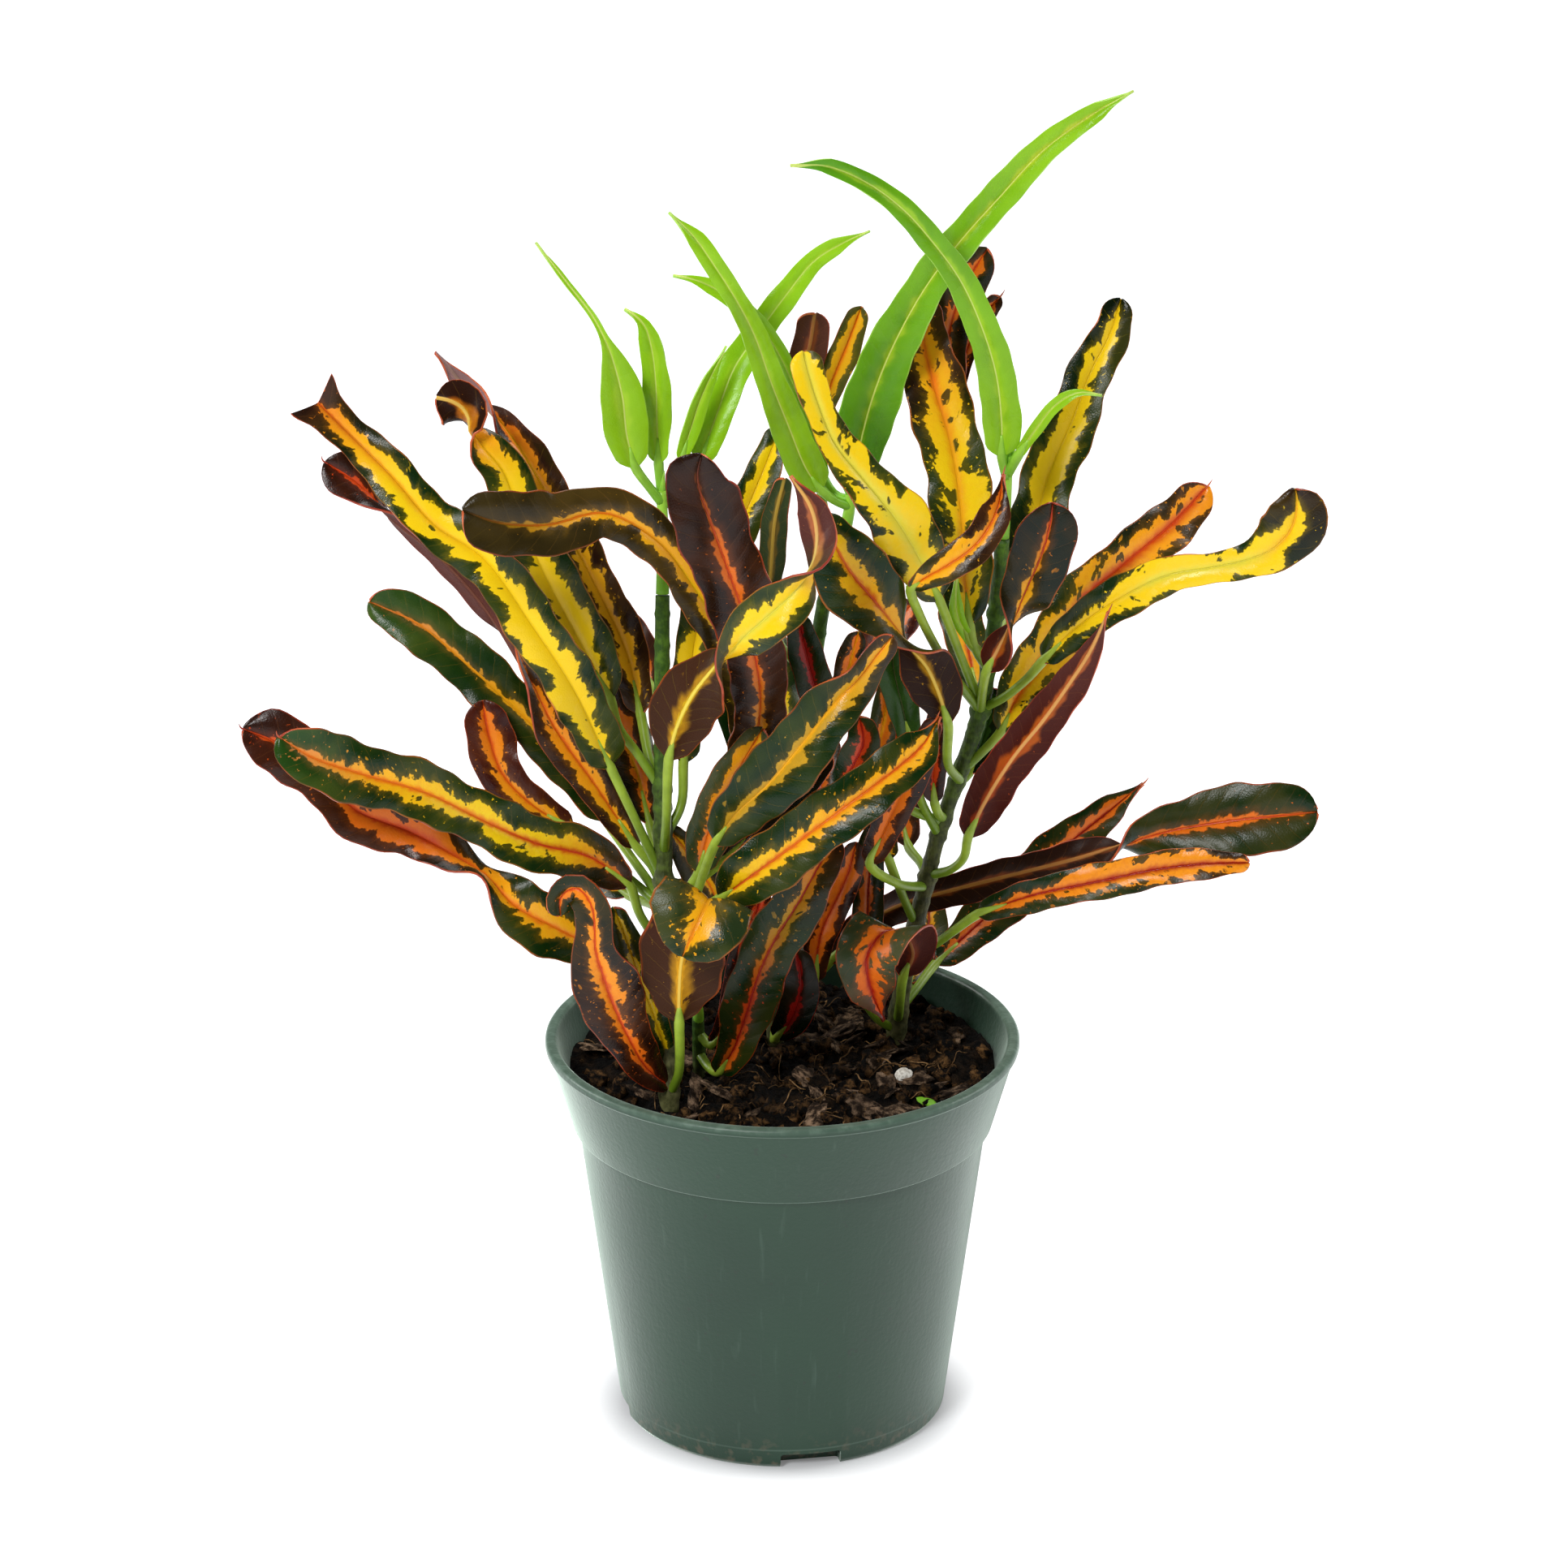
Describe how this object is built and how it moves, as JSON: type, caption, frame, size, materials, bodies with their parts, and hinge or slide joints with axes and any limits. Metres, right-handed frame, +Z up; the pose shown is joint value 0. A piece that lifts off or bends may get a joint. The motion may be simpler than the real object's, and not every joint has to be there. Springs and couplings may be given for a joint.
{
  "type": "potted croton plant",
  "caption": "Croton houseplant in a round plastic nursery pot: leafy stems with long twisted leaves, lime new leaves on top, soil in the pot.",
  "frame": {"origin": "middle of the pot's flat underside, on the surface that the pot stands on", "axes": "+Z up along the pot's axis, -Y towards the front of the picture, +X to its right"},
  "size_m": [0.2585, 0.1225, 0.3405],
  "materials": {
    "pot_plastic": "moulded dark green plastic with a soft sheen",
    "potting_soil": "dark moist peat and bark with fibres",
    "foliage": "glossy leaves, dark green to maroon with yellow to orange bands; green stems",
    "fresh_foliage": "glossy bright lime green"
  },
  "bodies": {
    "root": {"pot": "pot_plastic", "soil": "potting_soil", "left_leafy_stem": "foliage", "centre_leafy_stem": "foliage", "right_leafy_stem": "foliage", "front_leafy_stem": "foliage", "left_fresh_shoot": "fresh_foliage", "centre_fresh_shoot": "fresh_foliage", "right_fresh_shoot": "fresh_foliage"}
  },
  "joints": []
}
